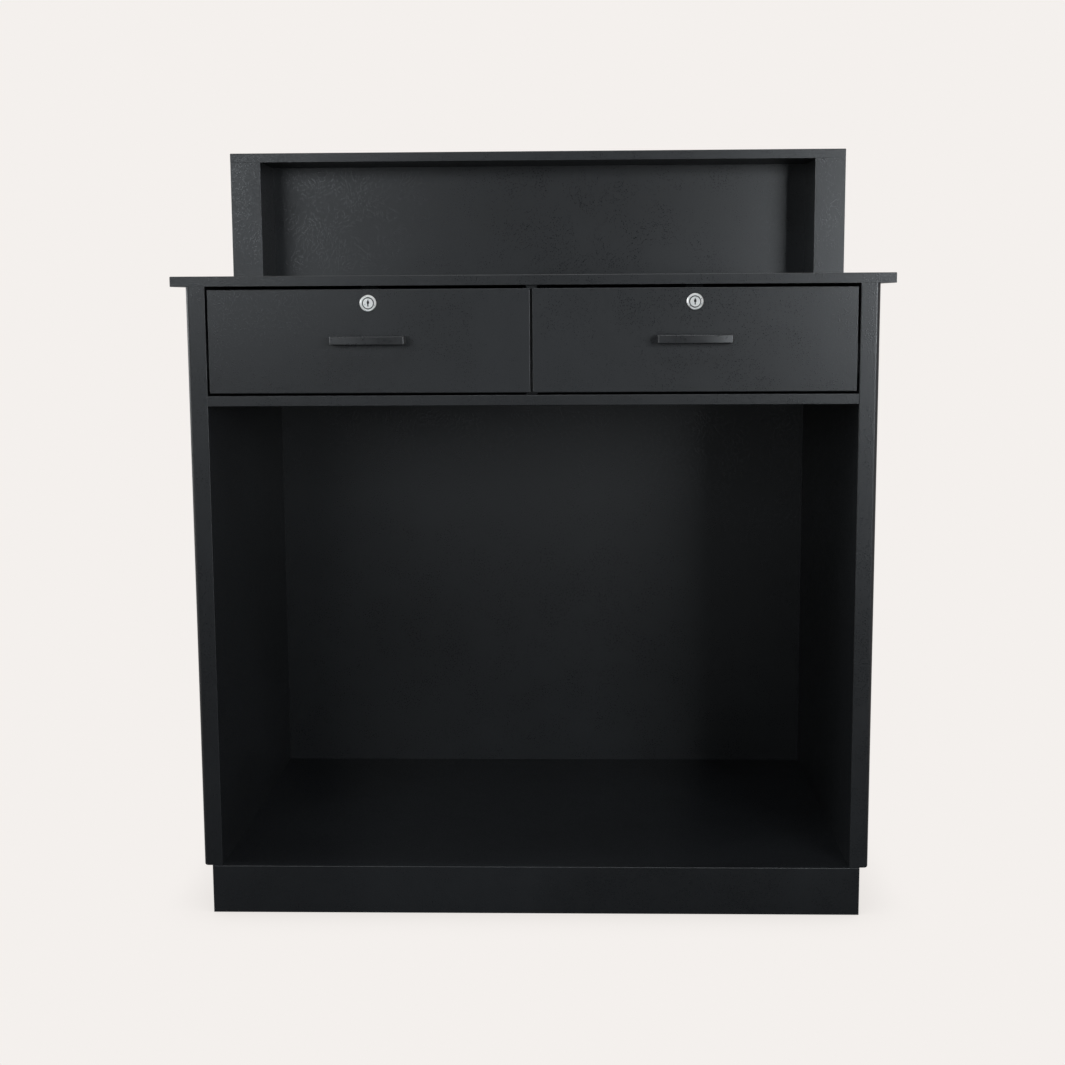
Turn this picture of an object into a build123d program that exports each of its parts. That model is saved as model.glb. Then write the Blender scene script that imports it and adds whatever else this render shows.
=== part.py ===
from build123d import *
import os

# Checkout counter with a raised transaction ledge and two lockable drawers.
# Millimetres. +X is to the right of the person behind the counter, -Y points at
# that person, +Z is up. The origin is on the floor, at the middle of the footprint.

# ---- overall sizes ---------------------------------------------------------
worktop_width = 1000.0
counter_depth = 600.0        # from the drawer faces to the customer panel's outer face
worktop_height = 915.0
ledge_height = 1110.0

# ---- boards ----------------------------------------------------------------
board_thick = 15.0           # carcass, hutch and plinth boards
cladding_thick = 12.0        # outer skins on the two sides
top_thick = 14.0             # worktop and ledge top
panel_thick = 15.0           # customer panel
side_overhang = 21.0         # worktop past each side
plinth_height = 70.0
arris = 1.2                  # easing of exposed board edges
fine_arris = 0.3             # easing where two flush boards meet
corner_radius = 6.0          # outer front corners of the side cladding
foot_radius = 2.5            # lower front edge of the side cladding

# ---- hutch -----------------------------------------------------------------
hutch_setback = 329.0        # from the drawer faces to the stile faces
stile_width = 47.0
niche_depth = 110.0          # from the stile faces to the niche back

# ---- drawers ---------------------------------------------------------------
bay_height = 151.0           # shelf to worktop
front_thick = 15.0
front_side_gap = 3.0
front_middle_gap = 3.0
front_top_gap = 4.5
front_bottom_gap = 3.0
divider_gap = 2.0            # behind the drawer fronts
box_board = 12.0             # drawer sides and backs
box_height = 100.0
box_depth = 480.0            # behind the drawer front
box_lift = 14.0              # box above the shelf
bottom_thick = 5.0
bottom_lift = 10.0           # drawer bottom above the lower edge of the sides
groove_depth = 6.0
groove_play = 0.1
cut_past = 1.0               # groove cutters run on past the open face

# ---- drawer slides ---------------------------------------------------------
slide_space = 12.7           # between a drawer box and the wall beside it
slide_length = 450.0
slide_setback = 20.0         # from the drawer faces
slide_height = 45.0
slide_rise = 32.0            # middle of the slide above the box's lower edge
slide_steel = 1.2
slide_lip = 1.2              # turned-in ends of the flanges
nest_step = 4.6              # from one member's flange to the next one's
middle_web_at = 2.4          # web of the middle member, from the wall
cabinet_reach = 9.5          # flanges of the cabinet member, from the wall
middle_reach = 10.5          # flanges of the middle member, from the wall
drawer_reach = 5.5           # flange ends of the drawer member, from the wall

# ---- pulls -----------------------------------------------------------------
pull_length = 104.0
pull_height = 12.0
pull_reach = 26.0            # at the middle of the bow
pull_bow = 3.0               # how far the middle stands out past the ends
pull_bar = 4.5
pull_leg = 8.0
pull_corner = 3.0
pull_edge = 1.5
pull_middle_drop = 70.5      # below the drawer front's upper edge
pull_leg_bore = 8.0

# ---- locks -----------------------------------------------------------------
lock_drop = 19.5             # lock centre below the drawer front's upper edge
flange_overlap = 1.9         # of the face ring over the hole in the drawer front
flange_thick = 2.0
flange_bevel = 0.8
barrel_radius = 9.5
flat_cut = 1.3               # taken off the barrel at each of its two flats
barrel_length = 22.0         # behind the drawer face
mouth_radius = 8.4
mouth_depth = 3.0
plug_head_radius = 6.9
plug_recess = 0.3
plug_radius = 6.0
plug_fit = 0.05              # radial running clearance in the barrel
axial_play = 0.3
plug_past_barrel = 0.6
drive_square = 7.0
key_slot_width = 1.6
key_slot_height = 8.4
key_notch_width = 3.4
key_notch_height = 3.2
key_notch_rise = 1.0
key_slot_depth = 12.0
nut_wall = 2.5               # from the barrel to the nut's flats
nut_thick = 4.0
cam_thick = 2.0
cam_width = 12.0
cam_reach = 17.0             # from the axis to the tip
cam_screw_head_radius = 4.0
cam_screw_head_thick = 2.2
cam_screw_radius = 2.0
cam_screw_length = 8.0
lock_turn_clearance = 1.0    # between the upright cam and the keeper's lip

# ---- keepers, brackets and fixings -----------------------------------------
keeper_width = 24.0
keeper_length = 25.0
keeper_steel = 1.5
keeper_setback = 18.0        # lip behind the drawer faces
keeper_screw_setback = 15.0  # screws behind the lip
keeper_screw_spacing = 12.0
bracket_leg = 20.0
bracket_width = 16.0
bracket_steel = 2.0
bracket_inset = 80.0         # from the slides' front ends and from the back board
screw_radius = 1.75
screw_stop = 0.7             # short of the middle of a board, so opposite screws never meet
screw_head_radius = 3.5
screw_head_thick = 2.0
hole_play = 0.05
front_hole_play = 0.1
confirmat_radius = 2.5
confirmat_length = 47.0
confirmat_head_radius = 3.5
confirmat_head_depth = 3.0
shelf_screw_inset = 60.0     # from the front and back of the drawer shelf
pull_screw_radius = 2.0
pull_screw_head_radius = 4.0
pull_screw_head_thick = 2.5
dowel_radius = 4.0
dowel_length = 30.0
dowel_in_top = 9.0           # part of a dowel that sits in the worktop or ledge top

# ---- derived places --------------------------------------------------------
screw_bite = board_thick / 2 - screw_stop
screw_length = screw_bite + bracket_steel
face_y = -(counter_depth - pull_reach) / 2
rear_y = face_y + counter_depth
panel_y = rear_y - panel_thick
back_y = panel_y - board_thick
body_half = worktop_width / 2 - side_overhang
carcass_half = body_half - cladding_thick
opening_half = carcass_half - board_thick
divider_half = board_thick / 2
carcass_top = worktop_height - top_thick
shelf_top = carcass_top - bay_height
shelf_bottom = shelf_top - board_thick
deck_bottom = plinth_height - board_thick
hutch_y = face_y + hutch_setback
niche_back_y = hutch_y + niche_depth
niche_half = body_half - stile_width
hutch_top = ledge_height - top_thick

front_top = carcass_top - front_top_gap
front_bottom = shelf_top + front_bottom_gap
front_inner = front_middle_gap / 2
front_outer = opening_half - front_side_gap
front_centre = (front_inner + front_outer) / 2
front_back_y = face_y + front_thick
divider_y = front_back_y + divider_gap

box_inner = divider_half + slide_space
box_outer = opening_half - slide_space
box_bottom = shelf_top + box_lift
box_top = box_bottom + box_height
box_rear_y = front_back_y + box_depth
tray_bottom = box_bottom + bottom_lift
tray_top = tray_bottom + bottom_thick

slide_z = box_bottom + slide_rise
slide_y = face_y + slide_setback
lock_z = front_top - lock_drop
flange_radius = barrel_radius + flange_overlap
barrel_flat = barrel_radius - flat_cut
nut_across_flats = 2 * (barrel_radius + nut_wall)
pull_z = front_top - pull_middle_drop
pull_leg_x = pull_length / 2 - pull_leg / 2
cam_y = face_y + barrel_length + plug_past_barrel
keeper_lip_bottom = lock_z + cam_reach + lock_turn_clearance

TURNS = {
    "+x": (0, 90, 0),
    "-x": (0, -90, 0),
    "+y": (-90, 0, 0),
    "-y": (90, 0, 0),
    "+z": (0, 0, 0),
    "-z": (180, 0, 0),
}
AGAINST = {"+x": "-x", "-x": "+x", "+z": "-z"}
SIDES = {"left": -1, "right": 1}

# Places of repeated fixings, as shares of the length they are spread along.
CABINET_SHARES = (0.1, 0.5, 0.9)
DRAWER_SHARES = (0.15, 0.8)
BACK_SHARES = (0.3, 0.6)
OUTER_DOWEL_SHARES = (0.2, 0.8)
INNER_DOWEL_SHARES = (0.25, 0.75)


# ---- building blocks -------------------------------------------------------
def block(x_pair, y_pair, z_pair):
    """Rectangular board between two limits on each axis, in any order."""
    (x0, x1), (y0, y1), (z0, z1) = (sorted(pair) for pair in (x_pair, y_pair, z_pair))
    middle = Pos((x0 + x1) / 2, (y0 + y1) / 2, (z0 + z1) / 2)
    return middle * Box(x1 - x0, y1 - y0, z1 - z0)


def rod(start, heading, radius, length):
    """Round bar that starts at a point and runs along one of the axes."""
    return Pos(*start) * Rot(*TURNS[heading]) * Pos(0, 0, length / 2) * Cylinder(radius, length)


def taper(start, heading, first_radius, last_radius, length):
    """Round bar like rod, with a different radius at each end."""
    cone = Cone(first_radius, last_radius, length)
    return Pos(*start) * Rot(*TURNS[heading]) * Pos(0, 0, length / 2) * cone


def ease(solid, edges, radius):
    """Round the given edges of a board."""
    return solid.fillet(radius, list(edges))


def face_edges(solid, axis, last=False):
    """Edges of the face that lies first, or last, along an axis."""
    return solid.faces().sort_by(axis)[-1 if last else 0].edges()


def group(solids):
    """Separate solids kept together as one named piece."""
    return Compound(list(solids))


def drilled(solid, holes):
    """The solid with every hole cut out."""
    for hole in holes:
        solid = solid - hole
    return solid


def span(side, inner, outer):
    """X limits on one side of the middle."""
    return (side * inner, side * outer)


# ---- fixings ---------------------------------------------------------------
def wood_screw(point, heading):
    """Pan-head screw whose head sits on the surface at the point."""
    head = rod(point, AGAINST[heading], screw_head_radius, screw_head_thick)
    return head + rod(point, heading, screw_radius, screw_length)


def wood_screw_hole(point, heading):
    """Hole for the shank of a wood screw."""
    return rod(point, heading, screw_radius + hole_play, screw_length + hole_play)


def slide_screw(point, heading, play=0.0):
    """Flat-head screw flush with a slide's web, or its hole when play is given."""
    head = taper(point, heading, screw_head_radius + play, screw_radius + play, slide_steel)
    return head + rod(point, heading, screw_radius + play, slide_steel + screw_bite + play)


def confirmat(point, heading, play=0.0):
    """Carcass screw with its head flush at the point, or its hole when play is given."""
    head = rod(point, heading, confirmat_head_radius + play, confirmat_head_depth)
    return head + rod(point, heading, confirmat_radius + play, confirmat_length + play)


def carcass_screw_places(side):
    """Heads of the carcass screws on the outer face of one side board."""
    shelf_z = (shelf_top + shelf_bottom) / 2
    back_mid_y = back_y + board_thick / 2
    stations = (face_y + shelf_screw_inset, back_y - shelf_screw_inset)
    along_shelf = [(side * carcass_half, y, shelf_z) for y in stations]
    tall = carcass_top - plinth_height
    up_back = [(side * carcass_half, back_mid_y, plinth_height + tall * share) for share in BACK_SHARES]
    return along_shelf + up_back


def inward(side):
    """Heading from a side board towards the middle of the counter."""
    return "-x" if side > 0 else "+x"


def outward(side):
    """Heading from the middle of the counter towards a side board."""
    return "+x" if side > 0 else "-x"


def carcass_holes(side):
    """Holes for the carcass screws of one side."""
    return [confirmat(place, inward(side), hole_play) for place in carcass_screw_places(side)]


def bracket_places():
    """Corner of each worktop bracket: the wall's x, the way it opens, and its y."""
    stations = (slide_y + bracket_inset, back_y - bracket_inset)
    walls = [(side * opening_half, -side) for side in SIDES.values()]
    walls += [(side * divider_half, side) for side in SIDES.values()]
    return [(x, way, y) for x, way in walls for y in stations]


def bracket_screw_places(x, way, y):
    """Where the two screws of a bracket go, with their headings."""
    middle = bracket_leg / 2 + bracket_steel / 2
    up = ((x + way * middle, y, carcass_top - bracket_steel), "+z")
    level = ((x + way * bracket_steel, y, carcass_top - middle), "+x" if way < 0 else "-x")
    return [up, level]


def bracket(x, way, y):
    """Steel angle between a wall and the underside of the worktop."""
    y_pair = (y - bracket_width / 2, y + bracket_width / 2)
    wall_leg = block((x, x + way * bracket_steel), y_pair, (carcass_top - bracket_leg, carcass_top))
    top_leg = block((x, x + way * bracket_leg), y_pair, (carcass_top - bracket_steel, carcass_top))
    holes = []
    for (px, py, pz), heading in bracket_screw_places(x, way, y):
        start = (px, py, pz) if heading == "+z" else (x + way * bracket_steel, py, pz)
        holes.append(rod(start, heading, screw_radius + hole_play, bracket_steel))
    return drilled(wall_leg + top_leg, holes)


def bracket_screws_all():
    """Every bracket screw as a place and a heading."""
    return [item for place in bracket_places() for item in bracket_screw_places(*place)]


def keeper_screw_places(side):
    """Where the two screws of a lock keeper go."""
    y = face_y + keeper_setback + keeper_screw_setback
    reach = keeper_screw_spacing / 2
    z = carcass_top - keeper_steel
    return [(side * front_centre + reach * way, y, z) for way in (-1, 1)]


def slide_screw_ys(shares):
    """Places of the slide screws along a slide member."""
    return [slide_y + slide_length * share for share in shares]


def slide_walls(side):
    """The two walls of a drawer bay: the wall's x and the way into the bay."""
    return [(side * opening_half, -side), (side * divider_half, side)]


def cabinet_slide_screws(side, play=0.0):
    """Screws, or their holes, that fix the cabinet members of one bay."""
    made = []
    for wall_x, way in slide_walls(side):
        heading = "+x" if way < 0 else "-x"
        for y in slide_screw_ys(CABINET_SHARES):
            made.append(slide_screw((wall_x + way * slide_steel, y, slide_z), heading, play))
    return made


def drawer_slide_screws(side, play=0.0):
    """Screws, or their holes, that fix the drawer members to one drawer box."""
    made = []
    for wall_x, way in slide_walls(side):
        heading = "+x" if way > 0 else "-x"
        start_x = wall_x + way * (slide_space - slide_steel)
        for y in slide_screw_ys(DRAWER_SHARES):
            made.append(slide_screw((start_x, y, slide_z), heading, play))
    return made


def dowel_places():
    """Middle of each dowel's thickness: hutch boards that stand on the worktop."""
    outer_x = body_half - board_thick / 2
    inner_x = niche_half + board_thick / 2
    front_y = hutch_y + board_thick
    places = []
    for side in SIDES.values():
        for x, depth, shares in (
            (outer_x, panel_y - front_y, OUTER_DOWEL_SHARES),
            (inner_x, niche_back_y - front_y, INNER_DOWEL_SHARES),
        ):
            places += [(side * x, front_y + depth * share) for share in shares]
    return places


def dowel_pair(x, y, play=0.0):
    """Lower and upper dowel of one place, or their holes when play is given."""
    lower_z = worktop_height - dowel_in_top - play
    upper_z = hutch_top + dowel_in_top + play
    reach = dowel_length + 2 * play
    lower = rod((x, y, lower_z), "+z", dowel_radius + play, reach)
    upper = rod((x, y, upper_z), "-z", dowel_radius + play, reach)
    return [lower, upper]


def dowel_holes():
    """Holes for all the dowels."""
    return [hole for x, y in dowel_places() for hole in dowel_pair(x, y, hole_play)]


# ---- plinth ----------------------------------------------------------------
def plinth_front_board():
    board = block((-carcass_half, carcass_half), (face_y, face_y + board_thick), (0, plinth_height))
    top_front = board.edges().filter_by(Axis.X).group_by(Axis.Y)[0].sort_by(Axis.Z)[-1]
    return ease(board, [top_front], arris)


def plinth_rear_board():
    return block((-carcass_half, carcass_half), (back_y, panel_y), (0, plinth_height))


def plinth_end(side):
    y_pair = (face_y + board_thick, back_y)
    return block(span(side, opening_half, carcass_half), y_pair, (0, plinth_height))


def plinth_brace():
    y_pair = (face_y + board_thick, back_y)
    return block((-board_thick / 2, board_thick / 2), y_pair, (0, deck_bottom))


def bottom_deck():
    y_pair = (face_y + board_thick, back_y)
    return block((-opening_half, opening_half), y_pair, (deck_bottom, plinth_height))


# ---- carcass ---------------------------------------------------------------
def side_board(side):
    x_pair = span(side, opening_half, carcass_half)
    board = block(x_pair, (face_y, panel_y), (plinth_height, carcass_top))
    front_edges = board.edges().filter_by(Axis.Z).group_by(Axis.Y)[0].sort_by(Axis.X)
    board = ease(board, [front_edges[0 if side > 0 else -1]], arris)
    holes = carcass_holes(side) + cabinet_slide_screws(side, hole_play)
    for place, heading in bracket_screws_all():
        if heading == outward(side):
            holes.append(wood_screw_hole(place, heading))
    return drilled(board, holes)


def side_cladding(side):
    x_pair = span(side, carcass_half, body_half)
    board = block(x_pair, (face_y, panel_y), (plinth_height, carcass_top))
    upright = board.edges().filter_by(Axis.Z).group_by(Axis.Y)[0].sort_by(Axis.X)
    board = ease(board, [upright[-1 if side > 0 else 0]], corner_radius)
    lower = board.faces().sort_by(Axis.Z)[0].edges().sort_by(Axis.Y)[0]
    return ease(board, [lower], foot_radius)


def back_board():
    x_pair = (-opening_half, opening_half)
    board = block(x_pair, (back_y, panel_y), (plinth_height, carcass_top))
    return drilled(board, carcass_holes(-1) + carcass_holes(1))


def drawer_shelf():
    board = block((-opening_half, opening_half), (face_y, back_y), (shelf_bottom, shelf_top))
    front = board.edges().filter_by(Axis.X).group_by(Axis.Y)[0]
    return drilled(ease(board, front, arris), carcass_holes(-1) + carcass_holes(1))


def drawer_divider():
    board = block((-divider_half, divider_half), (divider_y, back_y), (shelf_top, carcass_top))
    holes = cabinet_slide_screws(-1, hole_play) + cabinet_slide_screws(1, hole_play)
    for place, heading in bracket_screws_all():
        if heading != "+z" and abs(place[0]) < box_inner:
            holes.append(wood_screw_hole(place, heading))
    return drilled(board, holes)


def worktop():
    half = worktop_width / 2
    board = block((-half, half), (face_y, panel_y), (carcass_top, worktop_height))
    top_edges = face_edges(board, Axis.Z, last=True).sort_by(Axis.Y)[:-1]
    board = ease(board, top_edges, arris)
    low_edges = face_edges(board, Axis.Z).sort_by(Axis.Y)[:-1]
    board = ease(board, low_edges, fine_arris)
    holes = dowel_holes()
    holes += [wood_screw_hole(p, h) for p, h in bracket_screws_all() if h == "+z"]
    for side in SIDES.values():
        holes += [wood_screw_hole(place, "+z") for place in keeper_screw_places(side)]
    return drilled(board, holes)


def customer_panel():
    board = block((-body_half, body_half), (panel_y, rear_y), (plinth_height, hutch_top))
    upright = board.edges().filter_by(Axis.Z).group_by(Axis.Y)[-1]
    lower = board.edges().filter_by(Axis.X).group_by(Axis.Y)[-1].sort_by(Axis.Z)[0]
    return ease(board, list(upright) + [lower], arris)


# ---- hutch -----------------------------------------------------------------
def stile(side):
    x_pair = span(side, niche_half, body_half)
    board = block(x_pair, (hutch_y, hutch_y + board_thick), (worktop_height, hutch_top))
    return ease(board, board.edges().filter_by(Axis.Z).group_by(Axis.Y)[0], fine_arris)


def hutch_side(side):
    x_pair = span(side, body_half - board_thick, body_half)
    board = block(x_pair, (hutch_y + board_thick, panel_y), (worktop_height, hutch_top))
    return drilled(board, dowel_holes())


def niche_side(side):
    x_pair = span(side, niche_half, niche_half + board_thick)
    board = block(x_pair, (hutch_y + board_thick, niche_back_y), (worktop_height, hutch_top))
    return drilled(board, dowel_holes())


def niche_back_board():
    half = niche_half + board_thick
    return block((-half, half), (niche_back_y, niche_back_y + board_thick), (worktop_height, hutch_top))


def ledge_top():
    board = block((-body_half, body_half), (hutch_y, rear_y), (hutch_top, ledge_height))
    board = ease(board, face_edges(board, Axis.Z, last=True), arris)
    front = board.edges().filter_by(Axis.X).group_by(Axis.Z)[0].sort_by(Axis.Y)[0]
    return drilled(ease(board, [front], fine_arris), dowel_holes())


# ---- drawers ---------------------------------------------------------------
def drawer_front(side):
    x_pair = span(side, front_inner, front_outer)
    board = block(x_pair, (face_y, front_back_y), (front_bottom, front_top))
    board = ease(board, face_edges(board, Axis.Y), arris)
    groove_y = (front_back_y - groove_depth, front_back_y)
    holes = []
    for edge_x, way in ((box_inner, 1), (box_outer, -1)):
        x_limits = (side * (edge_x - way * groove_play), side * (edge_x + way * (box_board + groove_play)))
        holes.append(block(x_limits, groove_y, (box_bottom - groove_play, box_top + groove_play)))
    tray_x = span(side, box_inner + box_board - groove_play, box_outer - box_board + groove_play)
    holes.append(block(tray_x, groove_y, (tray_bottom - groove_play, tray_top + groove_play)))
    lock_at = (side * front_centre, face_y, lock_z)
    holes.append(rod(lock_at, "+y", barrel_radius + front_hole_play, front_thick))
    for way in (-1, 1):
        leg_at = (side * front_centre + way * pull_leg_x, face_y, pull_z)
        holes.append(rod(leg_at, "+y", pull_screw_radius + hole_play, front_thick))
    return drilled(board, holes)


def box_side(side, edge_x, way):
    """Drawer side whose outer face is at edge_x and whose thickness runs along way."""
    x_pair = (side * edge_x, side * (edge_x + way * box_board))
    board = block(x_pair, (front_back_y - groove_depth, box_rear_y), (box_bottom, box_top))
    inner_x = edge_x + way * box_board
    groove_x = (side * (inner_x - way * groove_depth), side * (inner_x + way * cut_past))
    tray = block(groove_x, (face_y, box_rear_y), (tray_bottom - groove_play, tray_top + groove_play))
    dado_y = (box_rear_y - box_board, box_rear_y)
    dado = block(groove_x, dado_y, (tray_bottom - groove_play, box_top))
    return drilled(board, [tray, dado] + drawer_slide_screws(side, hole_play))


def box_back(side):
    inset = box_board - groove_depth + groove_play
    x_pair = span(side, box_inner + inset, box_outer - inset)
    return block(x_pair, (box_rear_y - box_board, box_rear_y), (tray_top, box_top))


def box_tray(side):
    inset = box_board - groove_depth + groove_play
    x_pair = span(side, box_inner + inset, box_outer - inset)
    y_pair = (front_back_y - groove_depth + groove_play, box_rear_y)
    board = block(x_pair, y_pair, (tray_bottom, tray_top))
    notch_y = (front_back_y - groove_depth, front_back_y)
    notches = []
    for edge_x, way in ((box_inner, 1), (box_outer, -1)):
        x_limits = (side * edge_x, side * (edge_x + way * (box_board + groove_play)))
        notches.append(block(x_limits, notch_y, (tray_bottom, tray_top)))
    return drilled(board, notches)


def pull(side):
    """Bow handle: one bent bar with a leg at each end."""
    half = pull_length / 2
    end = pull_reach - pull_bow
    inside = half - pull_leg
    outline = Curve() + [
        Line((-half, 0), (-half, -end)),
        ThreePointArc((-half, -end), (0, -pull_reach), (half, -end)),
        Line((half, -end), (half, 0)),
        Line((half, 0), (inside, 0)),
        Line((inside, 0), (inside, -end + pull_bar)),
        ThreePointArc((inside, -end + pull_bar), (0, -pull_reach + pull_bar), (-inside, -end + pull_bar)),
        Line((-inside, -end + pull_bar), (-inside, 0)),
        Line((-inside, 0), (-half, 0)),
    ]
    bar = extrude(make_face(outline), pull_height)
    corners = bar.edges().filter_by(Axis.Z).group_by(Axis.Y)
    bar = ease(bar, corners[0], pull_corner)
    long_edges = [e for e in bar.edges() if e.center().Y < -end / 2 and e.length > inside]
    outer = [e for e in long_edges if e.center().Y < -end]
    bar = ease(bar, outer, pull_edge)
    bores = [rod((way * pull_leg_x, 0, pull_height / 2), "-y", pull_screw_radius + hole_play, pull_leg_bore)
             for way in (-1, 1)]
    return Pos(side * front_centre, face_y, pull_z - pull_height / 2) * drilled(bar, bores)


def pull_screws(side):
    """Machine screws that come from inside the drawer into the pull's legs."""
    made = []
    for way in (-1, 1):
        x = side * front_centre + way * pull_leg_x
        shank_length = front_thick + pull_leg_bore - hole_play
        shank = rod((x, front_back_y, pull_z), "-y", pull_screw_radius, shank_length)
        head_at = (x, front_back_y + pull_screw_head_thick, pull_z)
        made.append(shank + rod(head_at, "-y", pull_screw_head_radius, pull_screw_head_thick))
    return group(made)


# ---- slides ----------------------------------------------------------------
def channel(wall_x, way, web, reach, half_height):
    """Rolled channel: a web and two flanges with turned-in lips, along the drawer."""
    steel = slide_steel if reach > web else -slide_steel

    def strip(near, far, z_pair):
        x_pair = (wall_x + way * near, wall_x + way * far)
        return block(x_pair, (slide_y, slide_y + slide_length), z_pair)

    shape = strip(web, web + steel, (slide_z - half_height, slide_z + half_height))
    for up in (-1, 1):
        edge = slide_z + up * half_height
        shape += strip(web, reach, (edge, edge - up * slide_steel))
        shape += strip(reach, reach - steel, (edge, edge - up * (slide_steel + slide_lip)))
    return shape


def cabinet_members(side):
    """The fixed members on the two walls of one bay."""
    made = []
    for wall_x, way in slide_walls(side):
        made.append(channel(wall_x, way, 0, cabinet_reach, slide_height / 2))
    holes = cabinet_slide_screws(side, hole_play)
    return group(drilled(member, holes) for member in made)


def middle_members(side):
    """The members that travel half as far as the drawer."""
    half_height = slide_height / 2 - nest_step
    return group(
        channel(wall_x, way, middle_web_at, middle_reach, half_height)
        for wall_x, way in slide_walls(side)
    )


def drawer_members(side):
    """The members on the two sides of one drawer box."""
    half_height = slide_height / 2 - 2 * nest_step
    made = []
    for wall_x, way in slide_walls(side):
        made.append(channel(wall_x, way, slide_space, drawer_reach, half_height))
    holes = drawer_slide_screws(side, hole_play)
    return group(drilled(member, holes) for member in made)


# ---- locks -----------------------------------------------------------------
def lock_place(side, behind_face):
    """Point on a lock's axis, measured back from the drawer face."""
    return (side * front_centre, face_y + behind_face, lock_z)


def lock_barrel(side):
    flange = rod(lock_place(side, -flange_thick), "+y", flange_radius, flange_thick)
    rim = flange.edges().filter_by(GeomType.CIRCLE).sort_by(Axis.Y)[0]
    flange = flange.chamfer(flange_bevel, None, [rim])
    body = rod(lock_place(side, 0), "+y", barrel_radius, barrel_length)
    flats = block(
        (side * front_centre - barrel_radius, side * front_centre + barrel_radius),
        (face_y, face_y + barrel_length),
        (lock_z - barrel_flat, lock_z + barrel_flat),
    )
    barrel = flange + (body & flats)
    mouth = rod(lock_place(side, -flange_thick), "+y", mouth_radius, mouth_depth)
    whole = flange_thick + barrel_length
    bore = rod(lock_place(side, -flange_thick), "+y", plug_radius + plug_fit, whole)
    return drilled(barrel, [mouth, bore])


def lock_nut(side):
    outline = RegularPolygon(nut_across_flats / 2, 6, major_radius=False)
    nut = extrude(outline, nut_thick)
    placed = Pos(*lock_place(side, front_thick)) * Rot(*TURNS["+y"]) * nut
    return placed - rod(lock_place(side, front_thick), "+y", barrel_radius + hole_play, nut_thick)


def lock_plug(side):
    face = -flange_thick + plug_recess
    head_end = mouth_depth - flange_thick - axial_play
    plug = rod(lock_place(side, face), "+y", plug_head_radius, head_end - face)
    shoulder = barrel_length + plug_past_barrel
    plug += rod(lock_place(side, face), "+y", plug_radius, shoulder - face)
    half = drive_square / 2
    x = side * front_centre
    y_pair = (face_y + shoulder, face_y + shoulder + cam_thick)
    plug += block((x - half, x + half), y_pair, (lock_z - half, lock_z + half))
    slot_y = (face_y + face, face_y + face + key_slot_depth)
    slot = block(
        (x - key_slot_width / 2, x + key_slot_width / 2),
        slot_y,
        (lock_z - key_slot_height / 2, lock_z + key_slot_height / 2),
    )
    notch_z = lock_z + key_notch_rise
    notch = block(
        (x - key_notch_width / 2, x + key_notch_width / 2),
        slot_y,
        (notch_z - key_notch_height / 2, notch_z + key_notch_height / 2),
    )
    end = shoulder + cam_thick
    tapped = rod(lock_place(side, end), "-y", cam_screw_radius + hole_play, cam_screw_length + hole_play)
    return drilled(plug, [slot, notch, tapped])


def lock_cam(side):
    """Flat cam that lies level when unlocked, pointing right."""
    x = side * front_centre
    y_pair = (cam_y, cam_y + cam_thick)
    tip_x = x + cam_reach - cam_width / 2
    blade = block((x, tip_x), y_pair, (lock_z - cam_width / 2, lock_z + cam_width / 2))
    blade += rod((x, cam_y, lock_z), "+y", cam_width / 2, cam_thick)
    blade += rod((tip_x, cam_y, lock_z), "+y", cam_width / 2, cam_thick)
    half = drive_square / 2 + hole_play
    return blade - block((x - half, x + half), y_pair, (lock_z - half, lock_z + half))


def cam_screw(side):
    behind = barrel_length + plug_past_barrel + cam_thick
    head = rod(lock_place(side, behind), "+y", cam_screw_head_radius, cam_screw_head_thick)
    return head + rod(lock_place(side, behind), "-y", cam_screw_radius, cam_screw_length)


def lock_keeper(side):
    """Angle under the worktop whose lip stands in front of the cam's path."""
    x = side * front_centre
    lip_y = face_y + keeper_setback
    x_pair = (x - keeper_width / 2, x + keeper_width / 2)
    plate = block(x_pair, (lip_y, lip_y + keeper_length), (carcass_top - keeper_steel, carcass_top))
    lip = block(x_pair, (lip_y, lip_y + keeper_steel), (keeper_lip_bottom, carcass_top))
    holes = [rod(place, "+z", screw_radius + hole_play, keeper_steel) for place in keeper_screw_places(side)]
    return drilled(plate + lip, holes)


# ---- assembly --------------------------------------------------------------
def cabinet_screws():
    """Every small screw that fixes something to the cabinet."""
    made = [wood_screw(place, heading) for place, heading in bracket_screws_all()]
    for side in SIDES.values():
        made += [wood_screw(place, "+z") for place in keeper_screw_places(side)]
        made += cabinet_slide_screws(side)
    return group(made)


def carcass_screws():
    """Carcass screws of both sides."""
    return group(
        confirmat(place, inward(side))
        for side in SIDES.values()
        for place in carcass_screw_places(side)
    )


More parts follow.
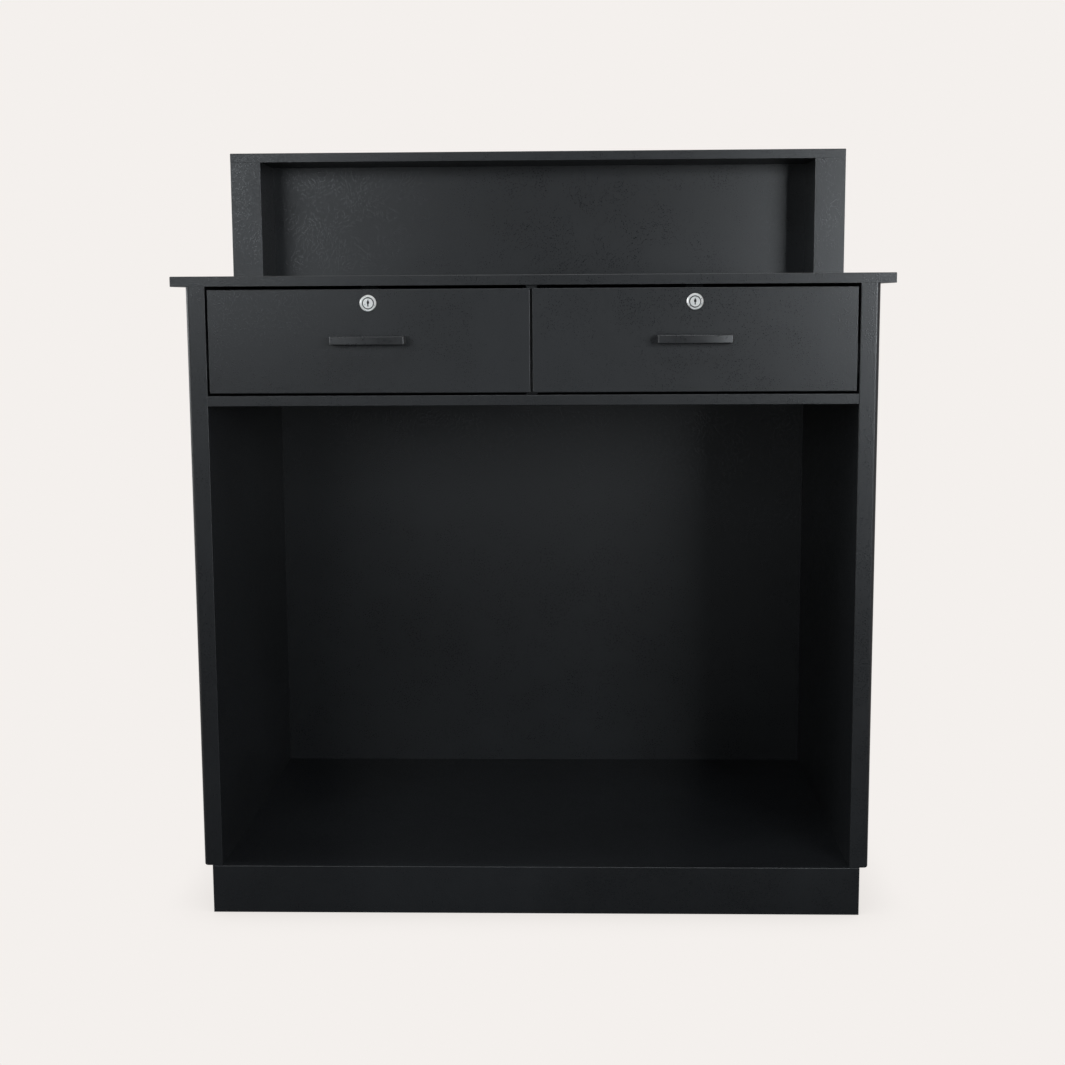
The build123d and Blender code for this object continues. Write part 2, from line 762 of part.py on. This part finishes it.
def cabinet_nodes():
    """Every piece that stays still."""
    nodes = {
        "plinth_front_board": plinth_front_board(),
        "plinth_rear_board": plinth_rear_board(),
        "plinth_brace": plinth_brace(),
        "bottom_deck": bottom_deck(),
        "back_board": back_board(),
        "drawer_shelf": drawer_shelf(),
        "drawer_divider": drawer_divider(),
        "worktop": worktop(),
        "customer_panel": customer_panel(),
        "niche_back_board": niche_back_board(),
        "ledge_top": ledge_top(),
        "carcass_screws": carcass_screws(),
        "cabinet_screws": cabinet_screws(),
        "worktop_brackets": group(bracket(*place) for place in bracket_places()),
        "lock_keepers": group(lock_keeper(side) for side in SIDES.values()),
        "hutch_dowels": group(dowel for x, y in dowel_places() for dowel in dowel_pair(x, y)),
    }
    for name, side in SIDES.items():
        nodes[f"plinth_end_{name}"] = plinth_end(side)
        nodes[f"side_board_{name}"] = side_board(side)
        nodes[f"side_cladding_{name}"] = side_cladding(side)
        nodes[f"stile_{name}"] = stile(side)
        nodes[f"hutch_side_{name}"] = hutch_side(side)
        nodes[f"niche_side_{name}"] = niche_side(side)
        nodes[f"{name}_slide_cabinet_members"] = cabinet_members(side)
    return nodes


def drawer_nodes(name, side):
    """Every piece of one drawer, its lock and the moving half of its slides."""
    return {
        f"{name}_drawer_front": drawer_front(side),
        f"{name}_drawer_divider_side": box_side(side, box_inner, 1),
        f"{name}_drawer_outer_side": box_side(side, box_outer, -1),
        f"{name}_drawer_back": box_back(side),
        f"{name}_drawer_bottom": box_tray(side),
        f"{name}_drawer_pull": pull(side),
        f"{name}_pull_screws": pull_screws(side),
        f"{name}_lock_barrel": lock_barrel(side),
        f"{name}_lock_nut": lock_nut(side),
        f"{name}_lock_plug": lock_plug(side),
        f"{name}_lock_cam": lock_cam(side),
        f"{name}_lock_cam_screw": cam_screw(side),
        f"{name}_slide_middle_members": middle_members(side),
        f"{name}_slide_drawer_members": drawer_members(side),
        f"{name}_slide_drawer_screws": group(drawer_slide_screws(side)),
    }


def main():
    os.makedirs("parts", exist_ok=True)
    nodes = cabinet_nodes()
    for name, side in SIDES.items():
        nodes.update(drawer_nodes(name, side))
    for node, shape in nodes.items():
        export_step(shape, f"parts/{node}.step")


main()
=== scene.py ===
import math

import bpy
from mathutils import Matrix, Vector


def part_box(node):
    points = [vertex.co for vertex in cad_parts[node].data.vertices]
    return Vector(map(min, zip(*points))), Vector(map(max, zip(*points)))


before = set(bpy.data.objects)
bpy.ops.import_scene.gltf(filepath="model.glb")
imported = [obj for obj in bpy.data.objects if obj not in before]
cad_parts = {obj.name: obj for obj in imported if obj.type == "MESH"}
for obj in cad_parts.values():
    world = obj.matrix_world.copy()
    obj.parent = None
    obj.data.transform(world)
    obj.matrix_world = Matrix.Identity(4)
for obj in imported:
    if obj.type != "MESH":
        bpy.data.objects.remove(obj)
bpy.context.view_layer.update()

# Looks of the checkout counter: camera, studio and procedural materials.
# Metres, in the same frame as the CAD: +Z up, -Y towards the person at the drawers.

# ---- places taken from the frame --------------------------------------------
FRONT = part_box("left_drawer_front")
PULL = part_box("right_drawer_pull")
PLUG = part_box("right_lock_plug")
FACE_Y = FRONT[0][1]


def middle(box, axis):
    """Middle of a box on one axis."""
    return (box[0][axis] + box[1][axis]) / 2


LOCK_X, LOCK_Z = middle(PLUG, 0), middle(PLUG, 2)
PLUG_FACE_Y = PLUG[0][1]
MOUTH_RADIUS = 0.0084        # of the recess that the plug turns in
KEY_SLOT_END = FACE_Y + 0.013
PULL_X, PULL_Z = middle(PULL, 0), middle(PULL, 2)


def linear(red, green, blue):
    """Linear colour of an 8-bit display colour."""
    def channel(value):
        share = value / 255
        return share / 12.92 if share <= 0.04045 else ((share + 0.055) / 1.055) ** 2.4
    return (channel(red), channel(green), channel(blue), 1.0)


PALE = linear(244, 240, 237)


# ---- camera -----------------------------------------------------------------
CAMERA_X = 0.0666            # right of the counter's middle
CAMERA_Z = 0.8764
CAMERA_AWAY = 2.2976         # in front of the drawer faces
TILT = math.radians(7.905)   # down
YAW = math.radians(-1.658)   # to the left
ROLL = math.radians(-0.3255)
FOCAL_SHARE = 1654.0 / 1065  # focal length over the picture's width
SENSOR = 36.0


def make_camera():
    """Camera at standing-desk height, looking slightly down at the counter."""
    ahead = Vector((math.sin(YAW) * math.cos(TILT), math.cos(YAW) * math.cos(TILT), -math.sin(TILT)))
    level_right = Vector((math.cos(YAW), -math.sin(YAW), 0.0))
    level_up = level_right.cross(ahead)
    right = math.cos(ROLL) * level_right + math.sin(ROLL) * level_up
    up = math.cos(ROLL) * level_up - math.sin(ROLL) * level_right
    turn = Matrix((right, up, -ahead)).transposed().to_4x4()
    data = bpy.data.cameras.new("camera")
    data.sensor_width = SENSOR
    data.lens = SENSOR * FOCAL_SHARE
    camera = bpy.data.objects.new("camera", data)
    camera.matrix_world = Matrix.Translation((CAMERA_X, FACE_Y - CAMERA_AWAY, CAMERA_Z)) @ turn
    bpy.context.scene.collection.objects.link(camera)
    bpy.context.scene.camera = camera


# ---- studio -----------------------------------------------------------------
AIM = Vector((0.0, FACE_Y, 0.75))
# name, place, width, height, power in watts
SOFTBOXES = (
    ("right_softbox", (1.67, -3.02, 1.2), 0.9, 0.9, 49.0),
    ("left_softbox", (-1.45, -3.14, 1.40), 1.5, 0.9, 20.5),
    ("left_side_softbox", (-3.0, -0.3, 1.6), 1.4, 1.8, 60.0),
    ("high_softbox", (0.3, -2.2, 3.4), 1.6, 0.8, 25.0),
    ("overhead_softbox", (0.0, -0.3, 3.4), 2.4, 2.0, 8.0),
    ("low_front_softbox", (0.0, -3.49, 0.35), 1.0, 0.6, 1.8),
    ("rear_softbox", (0.4, 3.2, 2.2), 2.4, 1.8, 12.0),
)
LIGHT_TINT = (0.90, 0.955, 1.0)
ROOM_LIGHT = 0.75            # of the walls beside and behind the counter, in reflections
FLOOR_LIGHT = 0.60           # of the floor there
WALLS_FROM, WALLS_TO = -0.75, -0.20   # Y of the directions between which the walls come up
CLOTH_FROM, CLOTH_TO = 0.9, 1.5       # half width of the dark cloth laid in front, and of its soft edge
CLOTH_SPREAD = 0.45          # how much wider the cloth gets with distance
CLOTH_REAR = 0.2             # its soft edge beside the counter, behind the drawer faces


def softbox(name, place, width, height, power):
    """Rectangular soft light aimed at the counter."""
    data = bpy.data.lights.new(name, "AREA")
    data.shape = "RECTANGLE"
    data.size = width
    data.size_y = height
    data.energy = power
    data.color = LIGHT_TINT
    light = bpy.data.objects.new(name, data)
    light.location = place
    light.rotation_euler = (AIM - Vector(place)).to_track_quat("-Z", "Y").to_euler()
    light.visible_camera = False
    bpy.context.scene.collection.objects.link(light)


def make_room():
    """Pale surroundings for the camera. The counter reflects pale walls beside and behind it only."""
    world = bpy.data.worlds.new("room")
    world.use_nodes = True
    bpy.context.scene.world = world
    tree = world.node_tree
    seen = tree.nodes["Background"]
    seen.inputs["Color"].default_value = PALE
    dim = tree.nodes.new("ShaderNodeBackground")
    dim.inputs["Color"].default_value = PALE
    facing = tree.nodes.new("ShaderNodeSeparateXYZ")
    tree.links.new(tree.nodes.new("ShaderNodeTexCoord").outputs["Generated"], facing.inputs[0])
    walls = tree.nodes.new("ShaderNodeMapRange")
    walls.interpolation_type = "SMOOTHSTEP"
    for socket, value in zip(list(walls.inputs)[1:5], (WALLS_FROM, WALLS_TO, 0.0, ROOM_LIGHT)):
        socket.default_value = value
    tree.links.new(facing.outputs["Y"], walls.inputs[0])
    tree.links.new(walls.outputs[0], dim.inputs["Strength"])
    path = tree.nodes.new("ShaderNodeLightPath")
    mix = tree.nodes.new("ShaderNodeMixShader")
    tree.links.new(path.outputs["Is Camera Ray"], mix.inputs[0])
    tree.links.new(dim.outputs[0], mix.inputs[1])
    tree.links.new(seen.outputs[0], mix.inputs[2])
    tree.links.new(mix.outputs[0], tree.nodes["World Output"].inputs["Surface"])


# ---- material kit -----------------------------------------------------------
class Finish:
    """One procedural material, with short names for the nodes it is made of."""

    def __init__(self, name):
        self.material = bpy.data.materials.new(name)
        self.material.use_nodes = True
        self.tree = self.material.node_tree
        self.shader = self.tree.nodes["Principled BSDF"]
        self.place = self.node("ShaderNodeTexCoord").outputs["Object"]

    def node(self, kind, **settings):
        made = self.tree.nodes.new(kind)
        for key, value in settings.items():
            setattr(made, key, value)
        return made

    def feed(self, socket, value):
        """Links an output, or sets a plain value, on an input socket."""
        if isinstance(value, bpy.types.NodeSocket):
            self.tree.links.new(value, socket)
        else:
            socket.default_value = value

    def math(self, operation, first, second=0.0, clamp=False):
        made = self.node("ShaderNodeMath", operation=operation, use_clamp=clamp)
        self.feed(made.inputs[0], first)
        self.feed(made.inputs[1], second)
        return made.outputs[0]

    def spread(self, value, low, high, to_low=0.0, to_high=1.0):
        """Smooth step of a value between two limits."""
        made = self.node("ShaderNodeMapRange", interpolation_type="SMOOTHSTEP")
        for socket, part in zip(made.inputs, (value, low, high, to_low, to_high)):
            self.feed(socket, part)
        return made.outputs[0]

    def mix(self, share, first, second):
        """Blend of two colours."""
        made = self.node("ShaderNodeMix", data_type="RGBA")
        self.feed(made.inputs[0], share)
        self.feed(made.inputs[6], first)
        self.feed(made.inputs[7], second)
        return made.outputs[2]

    def stretched(self, scales, shift=(0.0, 0.0, 0.0)):
        """Object coordinates with a scale and shift on each axis."""
        made = self.node("ShaderNodeMapping")
        self.feed(made.inputs["Vector"], self.place)
        made.inputs["Location"].default_value = shift
        made.inputs["Scale"].default_value = scales
        return made.outputs[0]

    def noise(self, scale, detail=3.0, roughness=0.5, at=None):
        made = self.node("ShaderNodeTexNoise")
        self.feed(made.inputs["Vector"], at or self.place)
        made.inputs["Scale"].default_value = scale
        made.inputs["Detail"].default_value = detail
        made.inputs["Roughness"].default_value = roughness
        return made.outputs[0]

    def cells(self, scale, at=None):
        made = self.node("ShaderNodeTexVoronoi")
        self.feed(made.inputs["Vector"], at or self.place)
        made.inputs["Scale"].default_value = scale
        return made.outputs["Distance"]

    def swayed(self, vector, scale, reach):
        """A vector field pushed about by soft noise, so that cells aren't regular."""
        drift = self.node("ShaderNodeTexNoise")
        self.feed(drift.inputs["Vector"], vector)
        drift.inputs["Scale"].default_value = scale
        drift.inputs["Detail"].default_value = 0.0
        push = self.node("ShaderNodeVectorMath", operation="MULTIPLY_ADD")
        self.feed(push.inputs[0], drift.outputs["Color"])
        push.inputs[1].default_value = (reach, reach, reach)
        self.feed(push.inputs[2], vector)
        return push.outputs[0]

    def axes(self):
        """X, Y and Z of the object coordinates."""
        return self.node_from("ShaderNodeSeparateXYZ", self.place).outputs

    def node_from(self, kind, value):
        made = self.node(kind)
        self.feed(made.inputs[0], value)
        return made

    def away(self, x_middle, z_middle, x_half, z_half):
        """Distance from a place on both drawer faces, where 1 is an ellipse of the given halves."""
        axes = self.axes()
        across = self.math("SUBTRACT", self.math("ABSOLUTE", axes[0]), x_middle)
        across = self.math("DIVIDE", across, x_half)
        rise = self.math("DIVIDE", self.math("SUBTRACT", axes[2], z_middle), z_half)
        squares = self.math("ADD", self.math("POWER", self.math("ABSOLUTE", across), 2.0),
                            self.math("POWER", self.math("ABSOLUTE", rise), 2.0))
        return self.math("SQRT", squares)

    def sharp_edge_mask(self, radius, low=0.03, high=0.25):
        """1 along sharp edges and 0 on open faces."""
        rounded = self.node("ShaderNodeBevel", samples=2)
        rounded.inputs["Radius"].default_value = radius
        plain = self.node("ShaderNodeNewGeometry").outputs["Normal"]
        alike = self.node("ShaderNodeVectorMath", operation="DOT_PRODUCT")
        self.feed(alike.inputs[0], rounded.outputs[0])
        self.feed(alike.inputs[1], plain)
        return self.spread(self.math("SUBTRACT", 1.0, alike.outputs["Value"]), low, high)

    def relief(self, height, strength, depth):
        """Bump from a height between 0 and 1 and its depth in metres."""
        made = self.node("ShaderNodeBump")
        made.inputs["Strength"].default_value = strength
        made.inputs["Distance"].default_value = depth
        self.feed(made.inputs["Height"], height)
        self.feed(self.shader.inputs["Normal"], made.outputs[0])

    def done(self, colour, roughness, metallic=0.0):
        self.feed(self.shader.inputs["Base Color"], colour)
        self.feed(self.shader.inputs["Roughness"], roughness)
        self.shader.inputs["Metallic"].default_value = metallic
        return self.material


# ---- laminate ---------------------------------------------------------------
PEBBLE = 400.0               # pebbles in a metre
PEBBLE_DEPTH = 0.00006
SATIN = 0.25                 # roughness of the film's smooth parts
LAMINATE_DARK = (0.0080, 0.0088, 0.0100, 1.0)
LAMINATE_LIGHT = (0.0130, 0.0142, 0.0160, 1.0)
LAMINATE_VALLEY = (0.0055, 0.0060, 0.0068, 1.0)
LAMINATE_DUST = (0.10, 0.10, 0.10, 1.0)
# lighter grey of rubbed wear and marks, and of a painted highlight along the board edges
LAMINATE_RUBBED_AND_EDGE_HIGHLIGHT = (0.050, 0.052, 0.055, 1.0)


def laminate(name, shift, edge_lightening=0.35, marks=None):
    """Black film with a pebbled leather grain, pressed on particle board.

    shift moves the grain so that boards differ, the third argument is how much the edges are lightened,
    partly as wear and partly as a painted highlight along the arrises, and marks takes the finish and its
    coordinates and gives more wear between 0 and 1."""
    film = Finish(name)
    ground = film.stretched((1.0, 1.0, 1.0), shift)
    pebbles = film.cells(PEBBLE, film.swayed(ground, 260.0, 0.0006))
    pebbles = film.spread(pebbles, 0.08, 0.66, 1.0, 0.0)
    pores = film.noise(5200.0, 0.0, 0.5, ground)
    film.relief(film.math("ADD", pebbles, film.math("MULTIPLY", pores, 0.12)), 0.6, PEBBLE_DEPTH)

    cloud = film.noise(3.1, 3.0, 0.55, ground)
    patches = film.noise(23.0, 4.0, 0.6, ground)
    dust = film.spread(film.noise(1500.0, 0.0, 0.5, ground), 0.70, 0.80)
    valley = film.math("SUBTRACT", 1.0, pebbles)
    tone = film.mix(film.spread(cloud, 0.35, 0.68), LAMINATE_DARK, LAMINATE_LIGHT)
    tone = film.mix(film.math("MULTIPLY", valley, 0.4), tone, LAMINATE_VALLEY)
    tone = film.mix(film.math("MULTIPLY", dust, 0.10), tone, LAMINATE_DUST)
    uneven = film.spread(film.noise(90.0, 2.0, 0.6, ground), 0.35, 0.75)
    # lightened edges: partly wear, partly a painted highlight along the arrises
    wear_and_edge_highlight = film.math("MULTIPLY", film.math("MULTIPLY", film.sharp_edge_mask(0.0011), uneven), edge_lightening)
    if marks:
        wear_and_edge_highlight = film.math("MAXIMUM", wear_and_edge_highlight, marks(film, ground))
    tone = film.mix(wear_and_edge_highlight, tone, LAMINATE_RUBBED_AND_EDGE_HIGHLIGHT)

    rough = film.spread(patches, 0.25, 0.75, SATIN - 0.02, SATIN + 0.02)
    rough = film.math("ADD", rough, film.math("MULTIPLY", valley, 0.12))
    rough = film.math("ADD", rough, film.math("MULTIPLY", cloud, 0.03))
    rough = film.math("SUBTRACT", rough, film.math("MULTIPLY", wear_and_edge_highlight, 0.10), clamp=True)
    return film.done(tone, rough)


def scratches(film, ground):
    """Sparse hairline scratches of a working surface."""
    lines = film.node("ShaderNodeMapping")
    film.feed(lines.inputs["Vector"], ground)
    lines.inputs["Rotation"].default_value = (0.0, 0.0, 0.5)
    lines.inputs["Scale"].default_value = (9.0, 620.0, 40.0)
    return film.math("MULTIPLY", film.spread(film.noise(1.0, 2.0, 0.5, lines.outputs[0]), 0.72, 0.78), 0.16)


def finger_marks(film, ground):
    """Soft shine where hands reach for the pulls and locks."""
    near_pull = film.spread(film.away(PULL_X, PULL_Z, 0.075, 0.030), 0.3, 1.1, 1.0, 0.0)
    near_lock = film.spread(film.away(LOCK_X, LOCK_Z, 0.026, 0.026), 0.5, 1.2, 1.0, 0.0)
    touched = film.math("MAXIMUM", near_pull, near_lock)
    ridges = film.spread(film.noise(160.0, 4.0, 0.65, ground), 0.42, 0.72)
    return film.math("MULTIPLY", film.math("MULTIPLY", touched, ridges), 0.10)


def shoe_scuffs(film, ground):
    """Faint level streaks low on the plinth."""
    streaks = film.node("ShaderNodeMapping")
    film.feed(streaks.inputs["Vector"], ground)
    streaks.inputs["Scale"].default_value = (14.0, 14.0, 260.0)
    streaks = film.spread(film.noise(1.0, 3.0, 0.6, streaks.outputs[0]), 0.62, 0.74)
    low = film.spread(film.axes()[2], 0.004, 0.05, 1.0, 0.0)
    return film.math("MULTIPLY", film.math("MULTIPLY", streaks, low), 0.16)


def melamine():
    """Matt black drawer-box board with a fine orange-peel surface."""
    board = Finish("drawer_box_melamine")
    peel = board.noise(900.0, 2.0, 0.5)
    fine = board.noise(4200.0, 1.0, 0.5)
    board.relief(board.math("ADD", peel, board.math("MULTIPLY", fine, 0.4)), 0.4, 0.00008)
    cloud = board.noise(6.0, 4.0, 0.6)
    tone = board.mix(board.spread(cloud, 0.3, 0.7),
                     (0.012, 0.0125, 0.0135, 1.0), (0.020, 0.0205, 0.0215, 1.0))
    dust = board.spread(board.noise(700.0, 2.0, 0.6), 0.66, 0.78)
    tone = board.mix(board.math("MULTIPLY", dust, 0.2), tone, (0.11, 0.105, 0.10, 1.0))
    chipped = board.math("MULTIPLY", board.sharp_edge_mask(0.0008), board.spread(cloud, 0.4, 0.7))
    tone = board.mix(board.math("MULTIPLY", chipped, 0.4), tone, (0.06, 0.055, 0.05, 1.0))
    rough = board.spread(board.noise(35.0, 4.0, 0.6), 0.2, 0.8, 0.50, 0.66)
    return board.done(tone, rough)


# ---- metals -----------------------------------------------------------------
def powder_coat():
    """Satin black powder coat of the pulls, rubbed a little on the bow's edges."""
    coat = Finish("pull_powder_coat")
    peel = coat.noise(1400.0, 2.0, 0.55)
    grit = coat.cells(3600.0)
    coat.relief(coat.math("ADD", peel, coat.math("MULTIPLY", grit, 0.25)), 0.35, 0.00007)
    tone = coat.mix(coat.spread(coat.noise(60.0, 3.0), 0.3, 0.7),
                    (0.010, 0.0105, 0.0115, 1.0), (0.016, 0.0165, 0.0175, 1.0))
    uneven = coat.spread(coat.noise(240.0, 4.0, 0.6), 0.4, 0.7)
    edge_lightening = coat.math("MULTIPLY", coat.sharp_edge_mask(0.0009), uneven)
    tone = coat.mix(coat.math("MULTIPLY", edge_lightening, 0.4), tone, (0.07, 0.07, 0.07, 1.0))
    rough = coat.spread(coat.noise(170.0, 4.0, 0.6), 0.25, 0.75, 0.25, 0.37)
    return coat.done(tone, rough)


def black_oxide():
    """Dull black oxide of the steel parts that hide under the worktop."""
    skin = Finish("black_oxide")
    grain = skin.noise(1800.0, 2.0, 0.6)
    skin.relief(grain, 0.3, 0.00004)
    cloud = skin.noise(70.0, 3.0, 0.6)
    tone = skin.mix(skin.spread(cloud, 0.35, 0.7),
                    (0.0030, 0.0031, 0.0034, 1.0), (0.0070, 0.0071, 0.0074, 1.0))
    edge_lightening = skin.math("MULTIPLY", skin.sharp_edge_mask(0.0006), cloud)
    tone = skin.mix(skin.math("MULTIPLY", edge_lightening, 0.3), tone, (0.015, 0.015, 0.015, 1.0))
    skin.shader.inputs["Specular IOR Level"].default_value = 0.05
    return skin.done(tone, skin.spread(cloud, 0.25, 0.75, 0.62, 0.78))


def zinc(name, along):
    """Bright zinc plate on rolled steel, its fine lines running along one axis."""
    plate = Finish(name)
    scales = [900.0, 900.0, 900.0]
    scales[along] = 14.0
    lines = plate.noise(1.0, 3.0, 0.6, plate.stretched(scales))
    spangle = plate.cells(260.0)
    plate.relief(lines, 0.25, 0.00003)
    tone = plate.mix(plate.spread(lines, 0.3, 0.7), (0.50, 0.51, 0.53, 1.0), (0.68, 0.69, 0.70, 1.0))
    tone = plate.mix(plate.math("MULTIPLY", spangle, 0.35), tone, (0.56, 0.58, 0.62, 1.0))
    grease = plate.spread(plate.noise(38.0, 4.0, 0.65), 0.56, 0.72)
    tone = plate.mix(plate.math("MULTIPLY", grease, 0.35), tone, (0.30, 0.28, 0.24, 1.0))
    rough = plate.math("MULTIPLY_ADD", lines, 0.18)
    rough.node.inputs[2].default_value = 0.22
    rough = plate.math("SUBTRACT", rough, plate.math("MULTIPLY", grease, 0.06), clamp=True)
    return plate.done(tone, rough, 1.0)


def nickel():
    """Satin nickel of the locks, with turned rings around each key hole and painted shade in the recesses
    inside.
    """
    plate = Finish("lock_nickel")
    away = plate.away(LOCK_X, LOCK_Z, 1.0, 1.0)
    rings = plate.math("MULTIPLY_ADD", plate.math("SINE", plate.math("MULTIPLY", away, 16500.0)), 0.5)
    rings.node.inputs[2].default_value = 0.5
    grain = plate.noise(2600.0, 3.0, 0.6)
    plate.relief(plate.math("ADD", rings, plate.math("MULTIPLY", grain, 0.5)), 0.22, 0.00002)
    tone = plate.mix(grain, (0.74, 0.73, 0.71, 1.0), (0.86, 0.85, 0.83, 1.0))
    nicks = plate.spread(plate.noise(900.0, 4.0, 0.65), 0.60, 0.72)
    tone = plate.mix(plate.math("MULTIPLY", nicks, 0.35), tone, (0.52, 0.51, 0.49, 1.0))
    depth = plate.axes()[1]
    within = plate.spread(away, MOUTH_RADIUS - 0.0002, MOUTH_RADIUS, 1.0, 0.0)
    begun = plate.spread(depth, PLUG_FACE_Y + 0.0002, PLUG_FACE_Y + 0.0006)
    ended = plate.spread(depth, KEY_SLOT_END - 0.0005, KEY_SLOT_END + 0.0005, 1.0, 0.0)
    # painted shade: the groove around the plug and the key slot behind the plug's face are coloured near
    # black
    keyhole_painted_shade = plate.math("MULTIPLY", plate.math("MULTIPLY", begun, ended), within)
    tone = plate.mix(plate.math("MULTIPLY", keyhole_painted_shade, 0.93), tone, (0.012, 0.012, 0.011, 1.0))
    rough = plate.spread(plate.noise(420.0, 4.0, 0.6), 0.25, 0.75, 0.26, 0.40)
    rough = plate.math("ADD", rough, plate.math("MULTIPLY", keyhole_painted_shade, 0.35), clamp=True)
    return plate.done(tone, rough, 1.0)


def screw_zinc():
    """Zinc-plated screws, a little duller and spotted."""
    plate = Finish("screw_zinc")
    grain = plate.noise(2200.0, 3.0, 0.6)
    plate.relief(grain, 0.25, 0.00003)
    spots = plate.spread(plate.noise(620.0, 4.0, 0.6), 0.52, 0.70)
    tone = plate.mix(grain, (0.46, 0.46, 0.47, 1.0), (0.58, 0.58, 0.59, 1.0))
    tone = plate.mix(plate.math("MULTIPLY", spots, 0.5), tone, (0.30, 0.29, 0.27, 1.0))
    return plate.done(tone, plate.spread(spots, 0.0, 1.0, 0.30, 0.46), 1.0)


def beech():
    """Raw beech of the dowels, its grain running up."""
    wood = Finish("dowel_beech")
    rays = wood.noise(1.0, 4.0, 0.6, wood.stretched((900.0, 900.0, 60.0)))
    wood.relief(rays, 0.3, 0.00005)
    tone = wood.mix(wood.spread(rays, 0.35, 0.7), (0.56, 0.38, 0.22, 1.0), (0.36, 0.21, 0.11, 1.0))
    return wood.done(tone, wood.spread(rays, 0.0, 1.0, 0.52, 0.70))


# ---- floor ------------------------------------------------------------------
FLOOR_HALF = 14.0
CLOTH_BOUNCE = 0.07          # how much of its light the dark cloth gives back to the counter
CONTACT_REACH = 0.10
CONTACT_SHADE = linear(230, 226, 223)


def floor_finish():
    """Pale seamless floor with a faint shade where the plinth meets it.

    In reflections it is pale beside and behind the counter, and a dark cloth covers it in front."""
    paper = Finish("floor_paper")
    paper.tree.nodes.remove(paper.shader)
    closeness = paper.node("ShaderNodeAmbientOcclusion", samples=8)
    closeness.inputs["Distance"].default_value = CONTACT_REACH
    open_share = paper.spread(closeness.outputs["AO"], 0.35, 1.0)
    pale = paper.node("ShaderNodeEmission")
    paper.feed(pale.inputs["Color"], paper.mix(open_share, CONTACT_SHADE, PALE))
    cloth = paper.node("ShaderNodeBsdfDiffuse")
    cloth.inputs["Color"].default_value = (CLOTH_BOUNCE, CLOTH_BOUNCE, CLOTH_BOUNCE, 1.0)
    lit = paper.node("ShaderNodeEmission")
    lit.inputs["Color"].default_value = PALE
    lit.inputs["Strength"].default_value = FLOOR_LIGHT
    axes = paper.axes()
    ahead = paper.math("SUBTRACT", FACE_Y, axes[1])
    widening = paper.math("MULTIPLY", ahead, CLOTH_SPREAD)
    across = paper.math("SUBTRACT", paper.math("ABSOLUTE", axes[0]), widening)
    beside = paper.spread(across, CLOTH_FROM, CLOTH_TO)
    behind = paper.spread(ahead, -CLOTH_REAR, 0.0, 1.0, 0.0)
    uncovered = paper.math("MAXIMUM", beside, behind)
    dim = paper.node("ShaderNodeMixShader")
    paper.feed(dim.inputs[0], uncovered)
    paper.feed(dim.inputs[1], cloth.outputs[0])
    paper.feed(dim.inputs[2], lit.outputs[0])
    seen = paper.node("ShaderNodeMixShader")
    paper.feed(seen.inputs[0], paper.node("ShaderNodeLightPath").outputs["Is Camera Ray"])
    paper.feed(seen.inputs[1], dim.outputs[0])
    paper.feed(seen.inputs[2], pale.outputs[0])
    paper.feed(paper.tree.nodes["Material Output"].inputs["Surface"], seen.outputs[0])
    return paper.material


def make_floor():
    """One large plane under the plinth."""
    corners = [(x * FLOOR_HALF, y * FLOOR_HALF, 0.0) for x, y in ((-1, -1), (1, -1), (1, 1), (-1, 1))]
    mesh = bpy.data.meshes.new("floor")
    mesh.from_pydata(corners, [], [(0, 1, 2, 3)])
    mesh.materials.append(floor_finish())
    floor = bpy.data.objects.new("floor", mesh)
    bpy.context.scene.collection.objects.link(floor)


# ---- finishes on the nodes --------------------------------------------------
def dress(material, *names):
    """Puts one material on every slot of the named nodes."""
    for name in names:
        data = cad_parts[name].data
        if not data.materials:
            data.materials.append(material)
        for index in range(len(data.materials)):
            data.materials[index] = material


def both(*names):
    """Names of the left and right nodes."""
    return [f"{side}_{name}" for side in ("left", "right") for name in names]


def dress_boards():
    """Laminate on every board, with the wear and painted edge highlight each place gets."""
    dress(laminate("laminate_worktop", (0.0, 0.0, 0.0), 0.5, scratches), "worktop", "ledge_top")
    dress(laminate("laminate_fronts", (3.1, 1.7, 0.4), 0.45, finger_marks), *both("drawer_front"))
    dress(laminate("laminate_hutch", (5.3, 2.9, 1.2)),
          "stile_left", "stile_right", "hutch_side_left", "hutch_side_right",
          "niche_side_left", "niche_side_right", "niche_back_board")
    dress(laminate("laminate_carcass", (7.7, 4.1, 2.3)),
          "side_board_left", "side_board_right", "side_cladding_left", "side_cladding_right",
          "drawer_shelf", "drawer_divider", "bottom_deck", "back_board")
    dress(laminate("laminate_customer_side", (9.9, 6.3, 3.7)), "customer_panel")
    dress(laminate("laminate_plinth", (11.2, 8.8, 4.9), 0.5, shoe_scuffs),
          "plinth_front_board", "plinth_rear_board", "plinth_end_left", "plinth_end_right", "plinth_brace")


def dress_hardware():
    """Finishes of the drawer boxes, pulls, locks, slides and fixings."""
    dress(melamine(), *both("drawer_divider_side", "drawer_outer_side", "drawer_back", "drawer_bottom"))
    dress(powder_coat(), *both("drawer_pull"))
    dress(zinc("slide_zinc", 1),
          *both("slide_cabinet_members", "slide_middle_members", "slide_drawer_members"))
    dress(zinc("cam_zinc", 0), *both("lock_cam"))
    dress(black_oxide(), "worktop_brackets", "lock_keepers", "cabinet_screws")
    dress(nickel(), *both("lock_barrel", "lock_plug", "lock_nut"))
    dress(screw_zinc(), "carcass_screws",
          *both("pull_screws", "slide_drawer_screws", "lock_cam_screw"))
    dress(beech(), "hutch_dowels")


bpy.context.scene.view_settings.view_transform = "Standard"
make_camera()
make_room()
for values in SOFTBOXES:
    softbox(*values)
make_floor()
dress_boards()
dress_hardware()
